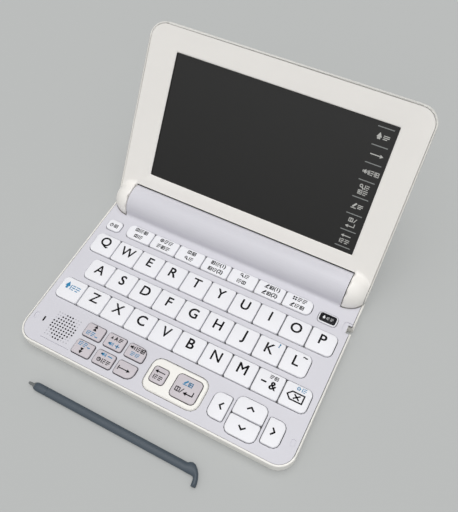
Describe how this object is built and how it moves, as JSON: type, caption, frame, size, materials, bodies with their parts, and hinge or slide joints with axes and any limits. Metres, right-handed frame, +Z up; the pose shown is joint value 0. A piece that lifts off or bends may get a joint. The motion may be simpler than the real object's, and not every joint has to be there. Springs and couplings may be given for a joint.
{
  "type": "electronic dictionary",
  "caption": "Folding pocket electronic dictionary with a keyboard base, a touch screen lid on a barrel hinge and a loose stylus.",
  "frame": {"origin": "middle of the flat underside of the base, on the desk", "axes": "+X to the user's right, +Y from the front edge towards the hinge, +Z up from the desk"},
  "size_m": [0.148, 0.1776, 0.0886],
  "materials": {
    "case_plastic": "smooth cream gloss",
    "deck_plastic": "fine pearl lavender paint",
    "bezel_plastic": "fine satin",
    "key_plastic": "satin, printed legends",
    "function_key_plastic": "satin pinkish grey",
    "home_key_plastic": "gloss black in a light ring",
    "screen_glass": "dark display under a clear touch panel",
    "stylus_plastic": "satin slate grey",
    "board_laminate": "green solder mask",
    "cell_jacket": "printed jacket"
  },
  "bodies": {
    "base": {"bottom_case": "case_plastic", "keyboard_deck": "deck_plastic", "enter_key_surround": "case_plastic", "batteries": "cell_jacket", "main_board": "board_laminate"},
    "lid": {"lid_back_cover": "case_plastic", "lid_bezel": "bezel_plastic", "display_module": "screen_glass"},
    "battery_cover": {"battery_cover": "case_plastic"},
    "stylus": {"stylus": "stylus_plastic"},
    "key_q": {"key_q": "key_plastic"},
    "key_w": {"key_w": "key_plastic"},
    "key_e": {"key_e": "key_plastic"},
    "key_r": {"key_r": "key_plastic"},
    "key_t": {"key_t": "key_plastic"},
    "key_y": {"key_y": "key_plastic"},
    "key_u": {"key_u": "key_plastic"},
    "key_i": {"key_i": "key_plastic"},
    "key_o": {"key_o": "key_plastic"},
    "key_p": {"key_p": "key_plastic"},
    "key_a": {"key_a": "key_plastic"},
    "key_s": {"key_s": "key_plastic"},
    "key_d": {"key_d": "key_plastic"},
    "key_f": {"key_f": "key_plastic"},
    "key_g": {"key_g": "key_plastic"},
    "key_h": {"key_h": "key_plastic"},
    "key_j": {"key_j": "key_plastic"},
    "key_k": {"key_k": "key_plastic"},
    "key_l": {"key_l": "key_plastic"},
    "key_z": {"key_z": "key_plastic"},
    "key_x": {"key_x": "key_plastic"},
    "key_c": {"key_c": "key_plastic"},
    "key_v": {"key_v": "key_plastic"},
    "key_b": {"key_b": "key_plastic"},
    "key_n": {"key_n": "key_plastic"},
    "key_m": {"key_m": "key_plastic"},
    "shift_key": {"shift_key": "key_plastic"},
    "dash_key": {"dash_key": "key_plastic"},
    "delete_key": {"delete_key": "key_plastic"},
    "dictionary_key_1": {"dictionary_key_1": "key_plastic"},
    "dictionary_key_2": {"dictionary_key_2": "key_plastic"},
    "dictionary_key_3": {"dictionary_key_3": "key_plastic"},
    "dictionary_key_4": {"dictionary_key_4": "key_plastic"},
    "dictionary_key_5": {"dictionary_key_5": "key_plastic"},
    "dictionary_key_6": {"dictionary_key_6": "key_plastic"},
    "dictionary_key_7": {"dictionary_key_7": "key_plastic"},
    "page_up_key": {"page_up_key": "function_key_plastic"},
    "volume_up_key": {"volume_up_key": "function_key_plastic"},
    "voice_key": {"voice_key": "function_key_plastic"},
    "page_down_key": {"page_down_key": "function_key_plastic"},
    "volume_down_key": {"volume_down_key": "function_key_plastic"},
    "jump_key": {"jump_key": "function_key_plastic"},
    "back_key": {"back_key": "function_key_plastic"},
    "enter_key": {"enter_key": "function_key_plastic"},
    "arrow_up_key": {"arrow_up_key": "key_plastic"},
    "arrow_down_key": {"arrow_down_key": "key_plastic"},
    "arrow_left_key": {"arrow_left_key": "key_plastic"},
    "arrow_right_key": {"arrow_right_key": "key_plastic"},
    "power_key": {"power_key": "key_plastic"},
    "home_key": {"home_key": "home_key_plastic"}
  },
  "joints": [
    {"name": "lid_hinge", "type": "hinge", "parent": "base", "child": "lid", "pos_m": [0, 0.0432, 0.0101], "axis": [-1, 0, 0], "range_deg": [-125.5, 24.5]},
    {"name": "battery_cover_slide", "type": "slide", "parent": "base", "child": "battery_cover", "axis": [0, 0, -1], "range_m": [0, 0.03]},
    {"name": "stylus_lift", "type": "slide", "parent": "base", "child": "stylus", "axis": [0, 0, 1], "range_m": [0, 0.06]},
    {"name": "key_q_press", "type": "slide", "parent": "base", "child": "key_q", "axis": [0, 0, -1], "range_m": [0, 0.0009], "stiffness_N_per_m": 500, "springref_m": -0.0003},
    {"name": "key_w_press", "type": "slide", "parent": "base", "child": "key_w", "axis": [0, 0, -1], "range_m": [0, 0.0009], "stiffness_N_per_m": 500, "springref_m": -0.0003},
    {"name": "key_e_press", "type": "slide", "parent": "base", "child": "key_e", "axis": [0, 0, -1], "range_m": [0, 0.0009], "stiffness_N_per_m": 500, "springref_m": -0.0003},
    {"name": "key_r_press", "type": "slide", "parent": "base", "child": "key_r", "axis": [0, 0, -1], "range_m": [0, 0.0009], "stiffness_N_per_m": 500, "springref_m": -0.0003},
    {"name": "key_t_press", "type": "slide", "parent": "base", "child": "key_t", "axis": [0, 0, -1], "range_m": [0, 0.0009], "stiffness_N_per_m": 500, "springref_m": -0.0003},
    {"name": "key_y_press", "type": "slide", "parent": "base", "child": "key_y", "axis": [0, 0, -1], "range_m": [0, 0.0009], "stiffness_N_per_m": 500, "springref_m": -0.0003},
    {"name": "key_u_press", "type": "slide", "parent": "base", "child": "key_u", "axis": [0, 0, -1], "range_m": [0, 0.0009], "stiffness_N_per_m": 500, "springref_m": -0.0003},
    {"name": "key_i_press", "type": "slide", "parent": "base", "child": "key_i", "axis": [0, 0, -1], "range_m": [0, 0.0009], "stiffness_N_per_m": 500, "springref_m": -0.0003},
    {"name": "key_o_press", "type": "slide", "parent": "base", "child": "key_o", "axis": [0, 0, -1], "range_m": [0, 0.0009], "stiffness_N_per_m": 500, "springref_m": -0.0003},
    {"name": "key_p_press", "type": "slide", "parent": "base", "child": "key_p", "axis": [0, 0, -1], "range_m": [0, 0.0009], "stiffness_N_per_m": 500, "springref_m": -0.0003},
    {"name": "key_a_press", "type": "slide", "parent": "base", "child": "key_a", "axis": [0, 0, -1], "range_m": [0, 0.0009], "stiffness_N_per_m": 500, "springref_m": -0.0003},
    {"name": "key_s_press", "type": "slide", "parent": "base", "child": "key_s", "axis": [0, 0, -1], "range_m": [0, 0.0009], "stiffness_N_per_m": 500, "springref_m": -0.0003},
    {"name": "key_d_press", "type": "slide", "parent": "base", "child": "key_d", "axis": [0, 0, -1], "range_m": [0, 0.0009], "stiffness_N_per_m": 500, "springref_m": -0.0003},
    {"name": "key_f_press", "type": "slide", "parent": "base", "child": "key_f", "axis": [0, 0, -1], "range_m": [0, 0.0009], "stiffness_N_per_m": 500, "springref_m": -0.0003},
    {"name": "key_g_press", "type": "slide", "parent": "base", "child": "key_g", "axis": [0, 0, -1], "range_m": [0, 0.0009], "stiffness_N_per_m": 500, "springref_m": -0.0003},
    {"name": "key_h_press", "type": "slide", "parent": "base", "child": "key_h", "axis": [0, 0, -1], "range_m": [0, 0.0009], "stiffness_N_per_m": 500, "springref_m": -0.0003},
    {"name": "key_j_press", "type": "slide", "parent": "base", "child": "key_j", "axis": [0, 0, -1], "range_m": [0, 0.0009], "stiffness_N_per_m": 500, "springref_m": -0.0003},
    {"name": "key_k_press", "type": "slide", "parent": "base", "child": "key_k", "axis": [0, 0, -1], "range_m": [0, 0.0009], "stiffness_N_per_m": 500, "springref_m": -0.0003},
    {"name": "key_l_press", "type": "slide", "parent": "base", "child": "key_l", "axis": [0, 0, -1], "range_m": [0, 0.0009], "stiffness_N_per_m": 500, "springref_m": -0.0003},
    {"name": "key_z_press", "type": "slide", "parent": "base", "child": "key_z", "axis": [0, 0, -1], "range_m": [0, 0.0009], "stiffness_N_per_m": 500, "springref_m": -0.0003},
    {"name": "key_x_press", "type": "slide", "parent": "base", "child": "key_x", "axis": [0, 0, -1], "range_m": [0, 0.0009], "stiffness_N_per_m": 500, "springref_m": -0.0003},
    {"name": "key_c_press", "type": "slide", "parent": "base", "child": "key_c", "axis": [0, 0, -1], "range_m": [0, 0.0009], "stiffness_N_per_m": 500, "springref_m": -0.0003},
    {"name": "key_v_press", "type": "slide", "parent": "base", "child": "key_v", "axis": [0, 0, -1], "range_m": [0, 0.0009], "stiffness_N_per_m": 500, "springref_m": -0.0003},
    {"name": "key_b_press", "type": "slide", "parent": "base", "child": "key_b", "axis": [0, 0, -1], "range_m": [0, 0.0009], "stiffness_N_per_m": 500, "springref_m": -0.0003},
    {"name": "key_n_press", "type": "slide", "parent": "base", "child": "key_n", "axis": [0, 0, -1], "range_m": [0, 0.0009], "stiffness_N_per_m": 500, "springref_m": -0.0003},
    {"name": "key_m_press", "type": "slide", "parent": "base", "child": "key_m", "axis": [0, 0, -1], "range_m": [0, 0.0009], "stiffness_N_per_m": 500, "springref_m": -0.0003},
    {"name": "shift_key_press", "type": "slide", "parent": "base", "child": "shift_key", "axis": [0, 0, -1], "range_m": [0, 0.0009], "stiffness_N_per_m": 500, "springref_m": -0.0003},
    {"name": "dash_key_press", "type": "slide", "parent": "base", "child": "dash_key", "axis": [0, 0, -1], "range_m": [0, 0.0009], "stiffness_N_per_m": 500, "springref_m": -0.0003},
    {"name": "delete_key_press", "type": "slide", "parent": "base", "child": "delete_key", "axis": [0, 0, -1], "range_m": [0, 0.0009], "stiffness_N_per_m": 500, "springref_m": -0.0003},
    {"name": "dictionary_key_1_press", "type": "slide", "parent": "base", "child": "dictionary_key_1", "axis": [0, 0, -1], "range_m": [0, 0.0005], "stiffness_N_per_m": 500, "springref_m": -0.0003},
    {"name": "dictionary_key_2_press", "type": "slide", "parent": "base", "child": "dictionary_key_2", "axis": [0, 0, -1], "range_m": [0, 0.0005], "stiffness_N_per_m": 500, "springref_m": -0.0003},
    {"name": "dictionary_key_3_press", "type": "slide", "parent": "base", "child": "dictionary_key_3", "axis": [0, 0, -1], "range_m": [0, 0.0005], "stiffness_N_per_m": 500, "springref_m": -0.0003},
    {"name": "dictionary_key_4_press", "type": "slide", "parent": "base", "child": "dictionary_key_4", "axis": [0, 0, -1], "range_m": [0, 0.0005], "stiffness_N_per_m": 500, "springref_m": -0.0003},
    {"name": "dictionary_key_5_press", "type": "slide", "parent": "base", "child": "dictionary_key_5", "axis": [0, 0, -1], "range_m": [0, 0.0005], "stiffness_N_per_m": 500, "springref_m": -0.0003},
    {"name": "dictionary_key_6_press", "type": "slide", "parent": "base", "child": "dictionary_key_6", "axis": [0, 0, -1], "range_m": [0, 0.0005], "stiffness_N_per_m": 500, "springref_m": -0.0003},
    {"name": "dictionary_key_7_press", "type": "slide", "parent": "base", "child": "dictionary_key_7", "axis": [0, 0, -1], "range_m": [0, 0.0005], "stiffness_N_per_m": 500, "springref_m": -0.0003},
    {"name": "page_up_key_press", "type": "slide", "parent": "base", "child": "page_up_key", "axis": [0, 0, -1], "range_m": [0, 0.0009], "stiffness_N_per_m": 500, "springref_m": -0.0003},
    {"name": "volume_up_key_press", "type": "slide", "parent": "base", "child": "volume_up_key", "axis": [0, 0, -1], "range_m": [0, 0.0009], "stiffness_N_per_m": 500, "springref_m": -0.0003},
    {"name": "voice_key_press", "type": "slide", "parent": "base", "child": "voice_key", "axis": [0, 0, -1], "range_m": [0, 0.0009], "stiffness_N_per_m": 500, "springref_m": -0.0003},
    {"name": "page_down_key_press", "type": "slide", "parent": "base", "child": "page_down_key", "axis": [0, 0, -1], "range_m": [0, 0.0009], "stiffness_N_per_m": 500, "springref_m": -0.0003},
    {"name": "volume_down_key_press", "type": "slide", "parent": "base", "child": "volume_down_key", "axis": [0, 0, -1], "range_m": [0, 0.0009], "stiffness_N_per_m": 500, "springref_m": -0.0003},
    {"name": "jump_key_press", "type": "slide", "parent": "base", "child": "jump_key", "axis": [0, 0, -1], "range_m": [0, 0.0009], "stiffness_N_per_m": 500, "springref_m": -0.0003},
    {"name": "back_key_press", "type": "slide", "parent": "base", "child": "back_key", "axis": [0, 0, -1], "range_m": [0, 0.0009], "stiffness_N_per_m": 500, "springref_m": -0.0003},
    {"name": "enter_key_press", "type": "slide", "parent": "base", "child": "enter_key", "axis": [0, 0, -1], "range_m": [0, 0.0009], "stiffness_N_per_m": 500, "springref_m": -0.0003},
    {"name": "arrow_up_key_press", "type": "slide", "parent": "base", "child": "arrow_up_key", "axis": [0, 0, -1], "range_m": [0, 0.0009], "stiffness_N_per_m": 500, "springref_m": -0.0003},
    {"name": "arrow_down_key_press", "type": "slide", "parent": "base", "child": "arrow_down_key", "axis": [0, 0, -1], "range_m": [0, 0.0009], "stiffness_N_per_m": 500, "springref_m": -0.0003},
    {"name": "arrow_left_key_press", "type": "slide", "parent": "base", "child": "arrow_left_key", "axis": [0, 0, -1], "range_m": [0, 0.0009], "stiffness_N_per_m": 500, "springref_m": -0.0003},
    {"name": "arrow_right_key_press", "type": "slide", "parent": "base", "child": "arrow_right_key", "axis": [0, 0, -1], "range_m": [0, 0.0009], "stiffness_N_per_m": 500, "springref_m": -0.0003},
    {"name": "power_key_press", "type": "slide", "parent": "base", "child": "power_key", "axis": [0, 0, -1], "range_m": [0, 0.0005], "stiffness_N_per_m": 500, "springref_m": -0.0003},
    {"name": "home_key_press", "type": "slide", "parent": "base", "child": "home_key", "axis": [0, 0, -1], "range_m": [0, 0.0005], "stiffness_N_per_m": 500, "springref_m": -0.0003}
  ]
}
